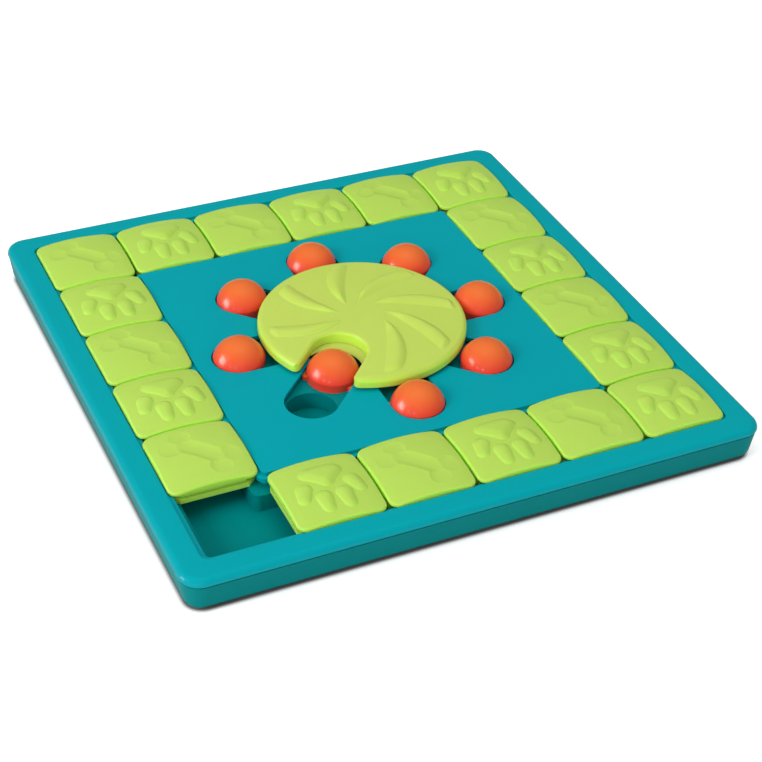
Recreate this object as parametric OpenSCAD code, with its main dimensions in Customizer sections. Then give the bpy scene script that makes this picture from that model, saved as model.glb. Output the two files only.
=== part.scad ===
// Sliding-tile and turning-wheel treat board for dogs.
// Millimetres, +Z up, origin on the table under the middle of the board.
// -Y is the side with the open cell at its left end.

/* [Board] */
// Width of the rim round the tile field
rim_w = 15.3; // [12:0.1:25]
// Plan radius of the four outside corners
board_corner_r = 12; // [8:0.5:25]
// Height of the rim's and the centre panel's top
top_z = 23; // [20:0.1:30]
// Height of the seam between rim frame and base tray
seam_z = 17.7; // [15:0.1:20]
// Wall thickness of the outside shells
shell_wall = 2.5; // [1.8:0.1:3.5]
// Thickness of the top plates of rim frame and centre panel
plate_t = 2.4; // [1.8:0.1:3]

/* [Tile field] */
// Distance from tile to tile
tile_pitch = 53.2; // [50:0.1:56]
// Play between the outer cells and the rim
field_play = 0.1; // [0:0.05:0.5]
// Corner radius of the opening inside the rim
field_corner_r = 5; // [3:0.5:8]
// Play between the inner cells and the centre panel
panel_play = 0.1; // [0:0.05:0.5]
// Corner radius of the centre panel
panel_corner_r = 3; // [2:0.5:6]

/* [Rim frame] */
// Radius of the rounded outside top edge
rim_round_r = 4.2; // [2:0.1:5]
// Thickness of the rim's inside wall
rim_inner_wall = 2.2; // [1.6:0.1:3]
// Thickness of the locating tongue inside the seam
tongue_t = 1.6; // [1:0.1:2]
// Play between the tongue and the tray wall
tongue_gap = 0.3; // [0.1:0.05:0.5]

/* [Rails and lips] */
// Height of the rails the tile runners rest on
rail_z = 14.8; // [13:0.1:16]
// Thickness of the ledges behind the rails
ledge_t = 2; // [1.6:0.1:3]
// Width of the outer rail inside the rim's opening
outer_rail_w = 6.6; // [4:0.1:9]
// Width of the inner rail outside the centre panel
inner_rail_w = 8; // [6:0.1:10]
// Corner radius of the inner rail
inner_rail_r = 4.5; // [3:0.5:6]
// Height of the underside of the holding lips
lip_z0 = 18.4; // [18:0.1:19]
// Height of the top of the holding lips
lip_z1 = 20.8; // [20:0.1:22]
// Play between a tile's neck and a lip
lip_gap = 0.4; // [0.2:0.05:0.6]

/* [Base tray] */
// Height of the tray's underside above the table
tray_z0 = 1.7; // [1:0.1:3]
// Thickness of the tray's floors
floor_t = 2; // [1.6:0.1:3]
// How far the outside wall leans in at the bottom
tray_draft = 2; // [1:0.1:4]
// How far the tray stands behind the rim at the seam
seam_step = 0.4; // [0.2:0.1:1]
// Size of the broken bottom edge
tray_bevel = 2.4; // [1:0.1:4]
// Thickness of the walls under the rails
rail_wall = 2; // [1.6:0.1:3]
// Distance from the panel's edge to the middle floor's edge
mid_floor_in = 8.3; // [6:0.1:10]

/* [Tile] */
// Gap between two neighbouring caps
cap_gap = 1.6; // [0.8:0.1:2.4]
// Plan corner radius of a cap
cap_corner_r = 5.7; // [4:0.1:8]
// Height of a cap's lower edge
cap_z0 = 21.2; // [21:0.1:22]
// Height of a cap's crown
crown_z = 28.3; // [26:0.1:29]
// Radius of the crown
crown_r = 130; // [80:1:200]
// Radius of the barrels that soften the cap's edges
edge_barrel_r = 30; // [28:0.5:40]
// Height of the axis of those barrels
edge_barrel_z = 9.4; // [7:0.1:10]
// How far a cap stands out over its neck
cap_lap = 2.6; // [2:0.1:3.5]
// Clipped corner of neck and runner
neck_clip = 5; // [3:0.1:7]
// How far a cap stands out over its runner plate
runner_in = 1; // [0.6:0.1:2]
// Height of a runner plate's top
runner_z1 = 18; // [17:0.1:18.2]
// Thickness of the neck's wall round its window
neck_wall = 6.2; // [3:0.1:10]
// Corner radius of that window
window_corner_r = 2; // [1:0.5:4]

/* [Tile ornament] */
// Height of the raised paw
paw_rise = 1.3; // [0.3:0.1:1.5]
// Depth of the sunk bone
bone_depth = 1.1; // [0.3:0.1:1.2]
// Shift of both ornaments towards the front
ornament_y = -0.8; // [-2:0.1:2]
// Radius of the bone's four lobes
bone_lobe_r = 6.3; // [5:0.1:8]
// Distance of the lobes from the bone's middle, along it
bone_lobe_u = 15.7; // [12:0.1:18]
// Distance of the lobes from the bone's middle, across it
bone_lobe_v = 5.7; // [4:0.1:7]
// Width of the bone's shaft
bone_shaft_w = 11; // [8:0.1:14]

/* [Centre panel] */
// Half width of a slot
slot_half = 16; // [15.5:0.1:17]
// Distance from a slot's end to the panel's edge
slot_edge = 10.3; // [8:0.1:14]
// Height of the slot floor
slot_floor_z = 17.8; // [17:0.1:18.5]
// Half width of the guide channel under the slot's edges
guide_half = 18.5; // [18.3:0.1:20]
// Height of the guide channel's top
guide_z1 = 20.6; // [20:0.1:21]
// Distance from a slot's end circle to the opening under the wheel
pocket_in = 35; // [30:0.5:40]
// Thickness of the ribs beside the guide channels
guide_rib_t = 2; // [1.5:0.1:3]

/* [Well tray] */
// Distance from the panel's edge to the well tray's edge
well_tray_in = 3.8; // [3.3:0.1:5]
// Thickness of the well tray
well_tray_t = 2; // [1.5:0.1:3]
// Inside radius of a well
well_r = 15; // [12:0.1:15.5]
// Depth of a well below the slot floor
well_depth = 10.8; // [8:0.1:11.5]
// Wall thickness of a well
well_wall = 1.5; // [1.2:0.1:2]
// Gap between the hub ring and the drawn-in knob's base
hub_ring_gap = 0.6; // [0.55:0.05:2]
// Wall thickness of that ring
hub_ring_wall = 2.5; // [2:0.1:4]
// Outside radius of the axle bush
bush_r = 9.5; // [8:0.1:12]
// Height of the bush's lower end
bush_z0 = 12.8; // [11:0.1:14]

/* [Wheel] */
// Gap between the wheel and the parked knobs' domes
wheel_gap = 0.5; // [0.3:0.1:1.5]
// Height of the wheel's underside
wheel_z0 = 24.75; // [24:0.05:26]
// Radius of the wheel's rounded edge
wheel_round_r = 3.4; // [2:0.1:4]
// Height of the top at the rounded edge
wheel_edge_z = 31.3; // [30:0.1:33]
// Height of the top at the middle
wheel_mid_z = 33.3; // [32:0.1:35]
// Half width of the notch
notch_half = 16.9; // [16:0.1:18]
// Depth of the notch from the wheel's edge to its end circle
notch_in = 24.5; // [20:0.1:28]
// Direction of the notch
notch_dir = -135; // [-180:45:180]
// Radius of the boss that runs in the bush
axle_r = 6; // [5:0.1:8]
// Play round the boss
axle_gap = 0.05; // [0.02:0.01:0.1]
// Height of the boss's lower end
axle_z0 = 12.6; // [12:0.1:13]
// Rise of the crescents
blade_rise = 0.9; // [0.3:0.1:1.5]
// Radius at which the crescents start
blade_r0 = 14; // [10:0.5:20]
// Distance from the crescents' outer ends to the wheel's edge
blade_in = 5.8; // [4:0.1:10]
// How far a crescent's leading edge bows out
blade_bow = 7; // [3:0.5:10]
// How far a crescent's trailing edge bows out
blade_back_bow = 1.5; // [0:0.5:5]
// Angle a crescent takes up at its outer end
blade_span = 8.7; // [5:0.1:15]

/* [Knob] */
// Radius of a knob's dome at the panel
knob_r = 15.7; // [14:0.1:16]
// Height of a knob's top
knob_z1 = 35.2; // [33:0.1:38]
// Radius of the dome
dome_r = 16.2; // [15.7:0.1:20]
// Radius of the base that runs in the slot
base_r = 15.6; // [15:0.1:15.9]
// Length of the two ears that run under the slot's edges
ear_l = 18; // [12:1:22]
// Distance of the ears' ends from the knob's axis
flange_half = 18; // [17:0.1:18.2]
// Height of the ears' top
flange_z1 = 20.3; // [20:0.1:20.5]
// Height of the base's top
base_z1 = 22.6; // [22:0.1:23]
// Play of a parked knob before its slot's end
park_play = 0.5; // [0.2:0.1:1]
// Distance of the drawn-in knob from the notch's end circle
knob_in_out = 8.4; // [8:0.1:12]

/* [Fasteners and feet] */
// Shank radius of every screw
screw_r = 1.45; // [1.2:0.05:2]
// Play round a shank
screw_gap = 0.05; // [0.02:0.01:0.2]
// Head radius of every screw
screw_head_r = 3; // [2.5:0.1:4]
// Head height of every screw
screw_head_h = 2; // [1.5:0.1:3]
// Radius of the screw bosses
boss_r = 3.6; // [3:0.1:5]
// Distance of the rim screws from the rim's opening
rim_screw_out = 6.5; // [5.5:0.1:8]
// Distance of the panel screws from the panel's edges
panel_screw_in = 18.3; // [16:0.1:20]
// Radius of the pillars round the panel screws
pillar_r = 5.4; // [5:0.1:7]
// Distance of the well tray screws outside the slots' end circles
well_screw_out = 4; // [2:0.5:8]
// Washer radius
washer_r = 9; // [7.5:0.1:9.5]
// Washer thickness
washer_t = 1.2; // [0.8:0.1:2]
// Radius of a rubber foot
foot_r = 8; // [6:0.5:12]
// Depth of a foot's pocket
foot_pocket = 0.8; // [0.5:0.1:1.2]

/* [Hidden] */
$fn = 96;
eps = 0.5;
far = 60;
cell_xy = 2.5 * tile_pitch;
field_half = 3 * tile_pitch + field_play;
panel_half = 2 * tile_pitch - panel_play;
board_half = field_half + rim_w;
outer_rail_half = field_half - outer_rail_w;
inner_rail_half = panel_half + inner_rail_w;
mid_floor_half = panel_half - mid_floor_in;
well_tray_half = panel_half - well_tray_in;
cap_half = (tile_pitch - cap_gap) / 2;
neck_half = cap_half - cap_lap;
runner_half = cap_half - runner_in;
runner_window = neck_half - neck_wall;
ornament_k = cap_half / 25.8;
slot_end_r = panel_half - slot_edge - slot_half;
pocket_r = slot_end_r - pocket_in;
knob_park_r = slot_end_r - park_play;
wheel_r = knob_park_r - knob_r - wheel_gap;
notch_end_r = wheel_r - notch_in;
knob_in_r = notch_end_r + knob_in_out;
hub_ring_r = knob_in_r - base_r - hub_ring_gap;
blade_r1 = wheel_r - blade_in;
rim_screw_xy = field_half + rim_screw_out;
rim_screw_side = 2.1 * tile_pitch + 0.28;
panel_screw_xy = panel_half - panel_screw_in;
well_screw_r = slot_end_r + well_screw_out;
foot_xy = cell_xy;
ledge_z0 = rail_z - ledge_t;
floor_z = tray_z0 + floor_t;
lip_out = cell_xy + neck_half + lip_gap;
lip_in = cell_xy - neck_half - lip_gap;
corner_c = board_half - board_corner_r;
draft_r = board_corner_r - seam_step;
well_tray_z0 = slot_floor_z - well_tray_t;
well_z0 = slot_floor_z - well_depth;
wheel_top_r = wheel_r - wheel_round_r;
panel_screw_z = 10;
teal = [0.0, 0.42, 0.45];
teal_low = [0.0, 0.30, 0.32];
teal_panel = [0.0, 0.40, 0.44];
lime = [0.55, 0.72, 0.12];
orange = [0.85, 0.20, 0.05];
steel = [0.70, 0.70, 0.72];
black = [0.05, 0.05, 0.05];

// Cell column, cell row, ornament (0 bone, 1 paw) of the nineteen tiles.
tiles = [
  [-2.5, -1.5, 0],
  [-2.5, -0.5, 1],
  [-2.5, 0.5, 0],
  [-2.5, 1.5, 1],
  [-2.5, 2.5, 0],
  [-1.5, 2.5, 1],
  [-0.5, 2.5, 0],
  [0.5, 2.5, 1],
  [1.5, 2.5, 0],
  [2.5, 2.5, 1],
  [2.5, 1.5, 0],
  [2.5, 0.5, 1],
  [2.5, -0.5, 0],
  [2.5, -1.5, 1],
  [2.5, -2.5, 1],
  [1.5, -2.5, 0],
  [0.5, -2.5, 1],
  [-0.5, -2.5, 0],
  [-1.5, -2.5, 1]
];

// Outer-end angle and twist of the seven crescents.
blades = [
  [-90.5, 47],
  [-48, 42],
  [-3, 40],
  [41, 36],
  [86, 24],
  [131, 18],
  [180, 4]
];

// ---- plan outlines and prisms ----

// Square with rounded corners, given by half its width.
module round_square(half, r) {
  square([2 * half, 2 * (half - r)], center = true);
  square([2 * (half - r), 2 * half], center = true);
  for (sx = [-1, 1], sy = [-1, 1])
    translate([sx * (half - r), sy * (half - r)])
      circle(r);
}

// Upright prism on a rounded square, from z0 to z1.
module round_prism(half, r, z0, z1) {
  translate([0, 0, z0])
    linear_extrude(z1 - z0)
      round_square(half, r);
}

// Upright prism on a square with clipped corners, from z0 to z1.
module clip_prism(half, clip, z0, z1) {
  translate([0, 0, z0])
    linear_extrude(z1 - z0)
      polygon([
        [half, half - clip],
        [half - clip, half],
        [clip - half, half],
        [-half, half - clip],
        [-half, clip - half],
        [clip - half, -half],
        [half - clip, -half],
        [half, clip - half]
      ]);
}

// Plain round bar from z0 to z1.
module bar(r, z0, z1) {
  translate([0, 0, z0])
    cylinder(r = r, h = z1 - z0);
}

// The child profile carried round the board's outside; x is measured from
// the corner's middle, y is the height.
module round_the_board() {
  for (sx = [-1, 1], sy = [-1, 1])
    translate([sx * corner_c, sy * corner_c, 0])
      rotate_extrude()
        children();
  for (a = [0 : 90 : 270])
    rotate([0, 0, a])
      translate([corner_c, corner_c, 0])
        rotate([90, 0, 0])
          linear_extrude(2 * corner_c)
            children();
}

// Puts its children at the four places (x, y), (-y, x), (-x, -y), (y, -x).
module four(x, y = 0) {
  for (a = [0 : 90 : 270])
    rotate([0, 0, a])
      translate([x, y, 0])
        children();
}

// ---- fasteners ----

// Pan-head screw pointing up; z is where its head meets the work.
module screw(z, z1) {
  difference() {
    union() {
      bar(screw_head_r, z - screw_head_h, z);
      bar(screw_r, z - eps, z1);
    }
    for (a = [0, 90])
      rotate([0, 0, a])
        translate([0, 0, z - screw_head_h])
          cube([3.6, 0.9, 2], center = true);
  }
}

module rim_screw_places() {
  four(rim_screw_xy)
    children();
  four(rim_screw_xy, rim_screw_side)
    children();
  four(rim_screw_xy, -rim_screw_side)
    children();
}

module well_screw_places() {
  rotate([0, 0, 22.5])
    four(well_screw_r)
      children();
}

// ---- base tray ----

// Outside of the tray: draughted wall with a broken lower edge.
module tray_outside() {
  round_the_board()
    polygon([
      [0, tray_z0],
      [draft_r - tray_draft - tray_bevel, tray_z0],
      [draft_r - tray_draft - tray_bevel * 0.3, tray_z0 + tray_bevel * 0.3],
      [draft_r - tray_draft + 0.1, tray_z0 + tray_bevel],
      [draft_r, seam_z],
      [0, seam_z]
    ]);
  translate([-corner_c, -corner_c, tray_z0])
    cube([2 * corner_c, 2 * corner_c, seam_z - tray_z0]);
}

// Space inside the tray's outside wall, under the outer ledge.
module tray_skirt_space() {
  round_the_board()
    polygon([
      [0, -eps],
      [draft_r - tray_draft - shell_wall, -eps],
      [draft_r - shell_wall - 0.6, ledge_z0],
      [0, ledge_z0]
    ]);
  translate([-corner_c, -corner_c, -eps])
    cube([2 * corner_c, 2 * corner_c, ledge_z0 + eps]);
}

module base_tray() {
  color(teal_low) {
    difference() {
      tray_outside();
      round_prism(board_half - seam_step - shell_wall, draft_r - shell_wall, rail_z, far);
      difference() {
        round_prism(outer_rail_half, 3, floor_z, far);
        round_prism(inner_rail_half, inner_rail_r, 0, far);
      }
      round_prism(mid_floor_half, 3, floor_z, far);
      difference() {
        tray_skirt_space();
        round_prism(outer_rail_half + rail_wall, 5, -far, far);
      }
      difference() {
        round_prism(inner_rail_half - rail_wall, inner_rail_r - rail_wall, -eps, ledge_z0);
        round_prism(mid_floor_half + rail_wall, 5, -far, far);
      }
      rim_screw_places()
        bar(screw_r + 0.25, ledge_z0 - eps, far);
      four(panel_screw_xy, panel_screw_xy)
        bar(screw_head_r + 0.4, -eps, panel_screw_z);
      foot_places()
        bar(foot_r + 0.05, -eps, tray_z0 + foot_pocket);
    }
    four(panel_screw_xy, panel_screw_xy)
      difference() {
        bar(pillar_r, tray_z0 + 0.4, well_tray_z0);
        bar(screw_head_r + 0.4, -eps, panel_screw_z);
        bar(screw_r + 0.25, 0, far);
      }
  }
}

module foot_places() {
  four(foot_xy, foot_xy)
    children();
  four(foot_xy)
    children();
}

module rubber_feet() {
  color(black)
    foot_places()
      union() {
        bar(foot_r, 0.8, tray_z0 + foot_pocket);
        bar(foot_r - 0.8, 0, 1.2);
      }
}

// ---- rim frame ----

module rim_outside() {
  round_the_board() {
    polygon([
      [0, seam_z],
      [board_corner_r, seam_z],
      [board_corner_r, top_z - rim_round_r],
      [board_corner_r - rim_round_r, top_z - rim_round_r],
      [board_corner_r - rim_round_r, top_z],
      [0, top_z]
    ]);
  }
  round_the_board()
    translate([board_corner_r - rim_round_r, top_z - rim_round_r])
      intersection() {
        circle(rim_round_r);
        square(rim_round_r);
      }
  translate([-corner_c, -corner_c, seam_z])
    cube([2 * corner_c, 2 * corner_c, top_z - seam_z]);
}

module rim_frame() {
  color(teal) {
    difference() {
      union() {
        rim_outside();
        round_prism(field_half + rim_inner_wall, field_corner_r + rim_inner_wall, rail_z, top_z);
      }
      difference() {
        round_prism(board_half - shell_wall - 0.2, board_corner_r - shell_wall, 0, top_z - plate_t);
        round_prism(field_half + rim_inner_wall, field_corner_r + rim_inner_wall, -far, far);
      }
      round_prism(field_half, field_corner_r, -far, lip_z0);
      round_prism(lip_out, 3, -far, far);
      round_prism(field_half, field_corner_r, lip_z1, far);
    }
    difference() {
      round_prism(board_half - seam_step - shell_wall - tongue_gap,
        draft_r - shell_wall - tongue_gap, rail_z + 0.4, top_z - plate_t + 0.1);
      round_prism(board_half - seam_step - shell_wall - tongue_gap - tongue_t,
        draft_r - shell_wall - tongue_gap - tongue_t, -far, far);
    }
    rim_screw_places()
      difference() {
        bar(boss_r, rail_z, top_z - plate_t + 0.1);
        bar(screw_r + screw_gap, 0, 21.2);
      }
  }
}

// ---- centre panel ----

// Slots of the given half width and end distance, between z0 and z1.
module slots(half, z0, z1) {
  for (a = [0 : 45 : 315])
    rotate([0, 0, a]) {
      translate([slot_end_r, 0, z0])
        cylinder(r = half, h = z1 - z0);
      translate([pocket_r - 5, -half, z0])
        cube([slot_end_r - pocket_r + 5, 2 * half, z1 - z0]);
    }
}

module centre_panel() {
  color(teal_panel)
    difference() {
      union() {
        round_prism(panel_half, panel_corner_r, guide_z1, top_z);
        difference() {
          round_prism(panel_half, panel_corner_r, rail_z, guide_z1 + 0.2);
          round_prism(panel_half - shell_wall, 1, 0, far);
        }
        round_prism(lip_in, panel_corner_r + lip_in - panel_half, lip_z0, lip_z1);
        slots(guide_half + guide_rib_t, slot_floor_z, guide_z1 + 0.2);
        well_screw_places()
          bar(boss_r, slot_floor_z, guide_z1 + 0.2);
        four(panel_screw_xy, panel_screw_xy)
          bar(boss_r, slot_floor_z, guide_z1 + 0.2);
      }
      difference() {
        round_prism(panel_half - shell_wall, 1, lip_z0 - 1, guide_z1);
        slots(guide_half + guide_rib_t, 0, far);
        well_screw_places()
          bar(boss_r, 0, far);
        four(panel_screw_xy, panel_screw_xy)
          bar(boss_r, 0, far);
      }
      slots(guide_half, 0, guide_z1);
      slots(slot_half, 0, far);
      bar(pocket_r, 0, far);
      well_screw_places()
        bar(screw_r + screw_gap, 0, 22);
      four(panel_screw_xy, panel_screw_xy)
        bar(screw_r + screw_gap, 0, 22);
    }
}

// ---- well tray ----

module well_tray() {
  color(teal_low)
    difference() {
      union() {
        round_prism(well_tray_half, 2, well_tray_z0, slot_floor_z);
        difference() {
          round_prism(well_tray_half, 2, rail_z, well_tray_z0 + 0.1);
          round_prism(mid_floor_half + 0.8, 2, 0, far);
        }
        for (a = [0 : 45 : 315])
          rotate([0, 0, a])
            translate([slot_end_r, 0, 0])
              bar(well_r + well_wall, well_z0 - well_wall, slot_floor_z);
        bar(hub_ring_r, well_tray_z0, wheel_z0);
        bar(bush_r, bush_z0, slot_floor_z);
      }
      difference() {
        bar(hub_ring_r - hub_ring_wall, slot_floor_z, far);
        bar(bush_r, 0, wheel_z0 - 0.4);
      }
      for (a = [0 : 45 : 315])
        rotate([0, 0, a])
          translate([slot_end_r, 0, 0])
            bar(well_r, well_z0, far);
      bar(axle_r + axle_gap, 0, far);
      well_screw_places()
        bar(screw_r + 0.25, 0, far);
      four(panel_screw_xy, panel_screw_xy)
        bar(screw_r + 0.25, 0, far);
    }
}

module well_tray_screws() {
  color(steel)
    well_screw_places()
      screw(well_tray_z0, 21.6);
}

module panel_screws() {
  color(steel)
    four(panel_screw_xy, panel_screw_xy)
      screw(panel_screw_z, 21.6);
}

module rim_screws() {
  color(steel)
    rim_screw_places()
      screw(ledge_z0, top_z - plate_t - 0.2);
}

// ---- wheel ----

// Height of the wheel's top at radius r.
function wheel_top(r) =
  wheel_edge_z + (wheel_mid_z - wheel_edge_z) * (1 - pow(r / wheel_top_r, 2));

// Solid under the wheel's gently domed top, raised by d.
module wheel_dome(r, z0, d) {
  rotate_extrude()
    polygon(concat(
      [[0, z0], [r, z0]],
      [for (i = [4 : -1 : 0]) [r * i / 4, wheel_top(r * i / 4) + d]]
    ));
}

module notch() {
  rotate([0, 0, notch_dir]) {
    translate([notch_end_r, 0, 0])
      cylinder(r = notch_half, h = far);
    translate([notch_end_r, -notch_half, 0])
      cube([40, 2 * notch_half, far]);
  }
}

// Middle of the circle through p and q that bows out by s to the right.
function bow_r(p, q, s) = (pow(norm(q - p) / 2, 2) + s * s) / (2 * s);
function bow_c(p, q, s) =
  (p + q) / 2 - [p[1] - q[1], q[0] - p[0]] / norm(q - p) * (bow_r(p, q, s) - s);

// One crescent: leading circle less trailing circle, outside blade_r0.
module blade(a, twist) {
  p = blade_r0 * [cos(a + twist), sin(a + twist)];
  q = blade_r1 * [cos(a), sin(a)];
  q2 = blade_r1 * [cos(a - blade_span), sin(a - blade_span)];
  intersection() {
    difference() {
      translate(concat(bow_c(p, q, blade_bow), [30]))
        cylinder(r = bow_r(p, q, blade_bow), h = 10);
      translate(concat(bow_c(p, q2, blade_back_bow), [29]))
        cylinder(r = bow_r(p, q2, blade_back_bow), h = 12, $fn = 360);
    }
    rotate([0, 0, a + twist / 2])
      translate([0, -30, 29])
        cube([blade_r1 + 4, 60, 12]);
  }
}

module wheel() {
  color(lime)
    difference() {
      union() {
        wheel_dome(wheel_top_r, wheel_z0, 0);
        bar(wheel_r, wheel_z0, wheel_edge_z - wheel_round_r);
        rotate_extrude()
          translate([wheel_top_r, wheel_edge_z - wheel_round_r])
            circle(wheel_round_r);
        intersection() {
          wheel_dome(blade_r1, wheel_edge_z - 1, blade_rise);
          for (b = blades)
            blade(b[0], b[1]);
        }
        bar(axle_r, axle_z0, wheel_z0 + eps);
      }
      difference() {
        bar(axle_r + 3, wheel_z0 - eps, wheel_z0 + 0.3);
        bar(axle_r, 0, far);
      }
      notch();
      bar(screw_r + screw_gap, 0, 27);
    }
}

module axle_washer() {
  color(steel)
    difference() {
      bar(washer_r, axle_z0 - washer_t, axle_z0);
      bar(screw_r + 0.15, 0, far);
    }
}

module axle_screw() {
  color(steel)
    screw(axle_z0 - washer_t, 26);
}

// ---- knobs ----

// Knob at distance r from the axle, pointing along a.
module knob(a, r) {
  color(orange)
    rotate([0, 0, a])
      translate([r, 0, 0]) {
        intersection() {
          translate([0, 0, knob_z1 - dome_r])
            sphere(dome_r, $fn = 144);
          bar(knob_r, base_z1 - 0.4, far);
        }
        bar(base_r, slot_floor_z, base_z1);
        intersection() {
          bar(flange_half, slot_floor_z, flange_z1);
          translate([-ear_l / 2, -flange_half, slot_floor_z])
            cube([ear_l, 2 * flange_half, flange_z1 - slot_floor_z]);
        }
      }
}

// ---- tiles ----

// Contact points of the tangent on side s of two circles.
function tangent_n(c1, r1, c2, r2, s) =
  let (u = (c2 - c1) / norm(c2 - c1), k = (r1 - r2) / norm(c2 - c1), w = s * sqrt(1 - k * k))
  [u[0] * k - u[1] * w, u[1] * k + u[0] * w];

// Drop: a large and a small circle joined just inside their tangents.
module drop(c1, r1, c2, r2) {
  n1 = tangent_n(c1, r1, c2, r2, 1);
  n2 = tangent_n(c1, r1, c2, r2, -1);
  a = r1 * 0.985;
  b = r2 * 0.985;
  translate(c1)
    circle(r1);
  translate(c2)
    circle(r2);
  polygon([c1 + a * n1, c2 + b * n1, c2 + b * n2, c1 + a * n2]);
}

module paw_outline() {
  drop([-5.3, -8.2], 4.7, [-5.6, -18.2], 1.6);
  drop([6.3, -8.2], 4.7, [6.6, -18.2], 1.6);
  drop([-13.6, 0.6], 4.5, [-16.6, -7.8], 1.6);
  drop([14.2, 0.6], 4.5, [17.0, -7.8], 1.6);
  drop([-6.2, 11.2], 6.2, [0.3, 2.8], 4.3);
  drop([6.8, 11.2], 6.2, [0.3, 2.8], 4.3);
  polygon([[-6.2, 16.4], [6.8, 16.4], [0.3, 2.8]]);
}

module bone_outline() {
  rotate(-45) {
    square([2 * bone_lobe_u, bone_shaft_w], center = true);
    for (sx = [-1, 1], sy = [-1, 1])
      translate([sx * bone_lobe_u, sy * bone_lobe_v])
        circle(bone_lobe_r);
  }
}

module crown(d) {
  translate([0, 0, crown_z - crown_r])
    sphere(crown_r + d, $fn = 240);
}

// A tile's head without its ornament.
module cap_body() {
  intersection() {
    round_prism(cap_half, cap_corner_r, cap_z0, far);
    crown(0);
    for (a = [0, 90])
      rotate([0, 0, a])
        translate([0, 0, edge_barrel_z])
          rotate([90, 0, 0])
            cylinder(r = edge_barrel_r, h = 80, center = true, $fn = 180);
  }
}

module tile_cap(i) {
  t = tiles[i - 1];
  color(lime)
    translate([t[0] * tile_pitch, t[1] * tile_pitch, 0])
      if (t[2] == 0)
        difference() {
          cap_body();
          difference() {
            translate([0, ornament_y, cap_z0 + 1])
              linear_extrude(10)
                scale(ornament_k)
                  bone_outline();
            crown(-bone_depth);
          }
        }
      else
        union() {
          cap_body();
          intersection() {
            translate([0, ornament_y, cap_z0 + 3])
              linear_extrude(10)
                scale(ornament_k)
                  paw_outline();
            crown(paw_rise);
          }
        }
}

// Runner plate with the neck that carries the head.
module tile_runner(i) {
  t = tiles[i - 1];
  color(lime)
    translate([t[0] * tile_pitch, t[1] * tile_pitch, 0])
      difference() {
        union() {
          clip_prism(runner_half, neck_clip, rail_z, runner_z1);
          clip_prism(neck_half, neck_clip, runner_z1 - eps, cap_z0);
        }
        round_prism(runner_window, window_corner_r, 0, far);
      }
}

base_tray();
rim_frame();
centre_panel();
well_tray();
wheel();
axle_washer();
axle_screw();
knob(0, knob_park_r);  // knob_01
knob(45, knob_park_r);  // knob_02
knob(90, knob_park_r);  // knob_03
knob(135, knob_park_r);  // knob_04
knob(180, knob_park_r);  // knob_05
knob(-135, knob_in_r);  // knob_06
knob(-90, knob_park_r);  // knob_07
knob(-45, knob_park_r);  // knob_08
tile_cap(1);  // tile_cap_01
tile_cap(2);  // tile_cap_02
tile_cap(3);  // tile_cap_03
tile_cap(4);  // tile_cap_04
tile_cap(5);  // tile_cap_05
tile_cap(6);  // tile_cap_06
tile_cap(7);  // tile_cap_07
tile_cap(8);  // tile_cap_08
tile_cap(9);  // tile_cap_09
tile_cap(10);  // tile_cap_10
tile_cap(11);  // tile_cap_11
tile_cap(12);  // tile_cap_12
tile_cap(13);  // tile_cap_13
tile_cap(14);  // tile_cap_14
tile_cap(15);  // tile_cap_15
tile_cap(16);  // tile_cap_16
tile_cap(17);  // tile_cap_17
tile_cap(18);  // tile_cap_18
tile_cap(19);  // tile_cap_19
tile_runner(1);  // tile_runner_01
tile_runner(2);  // tile_runner_02
tile_runner(3);  // tile_runner_03
tile_runner(4);  // tile_runner_04
tile_runner(5);  // tile_runner_05
tile_runner(6);  // tile_runner_06
tile_runner(7);  // tile_runner_07
tile_runner(8);  // tile_runner_08
tile_runner(9);  // tile_runner_09
tile_runner(10);  // tile_runner_10
tile_runner(11);  // tile_runner_11
tile_runner(12);  // tile_runner_12
tile_runner(13);  // tile_runner_13
tile_runner(14);  // tile_runner_14
tile_runner(15);  // tile_runner_15
tile_runner(16);  // tile_runner_16
tile_runner(17);  // tile_runner_17
tile_runner(18);  // tile_runner_18
tile_runner(19);  // tile_runner_19
rim_screws();
panel_screws();
well_tray_screws();
rubber_feet();
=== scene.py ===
# %% [markdown]
# # A sliding-tile treat board
# The board is a square puzzle for dogs. Nineteen lime tiles run in a ring round a teal panel,
# eight orange knobs slide over treat wells, and a lime wheel with a notch turns in the middle.
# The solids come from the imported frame; this lesson gives them surfaces and finishes.

# %% Load the frame
import math

import bpy
import numpy as np
from mathutils import Matrix, Vector


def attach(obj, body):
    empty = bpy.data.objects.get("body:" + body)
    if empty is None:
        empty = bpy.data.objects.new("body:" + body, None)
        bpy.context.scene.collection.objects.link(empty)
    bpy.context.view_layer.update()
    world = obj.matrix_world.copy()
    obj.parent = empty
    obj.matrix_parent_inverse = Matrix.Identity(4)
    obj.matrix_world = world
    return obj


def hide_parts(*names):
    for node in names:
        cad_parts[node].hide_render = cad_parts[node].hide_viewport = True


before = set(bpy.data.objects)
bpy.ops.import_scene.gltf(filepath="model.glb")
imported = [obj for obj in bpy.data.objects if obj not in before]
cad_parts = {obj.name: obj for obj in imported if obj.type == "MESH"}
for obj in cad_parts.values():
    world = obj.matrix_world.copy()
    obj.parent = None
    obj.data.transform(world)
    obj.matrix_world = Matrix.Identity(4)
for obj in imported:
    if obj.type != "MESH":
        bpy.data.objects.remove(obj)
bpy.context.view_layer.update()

# %% [markdown]
# ## The camera
# The board is seen from its near left corner, from above. A long lens at about one metre keeps
# the far edge nearly as wide as the near one. Place, direction and roll are written as plain
# numbers, because a fitted view is easier to check than a chain of constraints.

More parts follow.
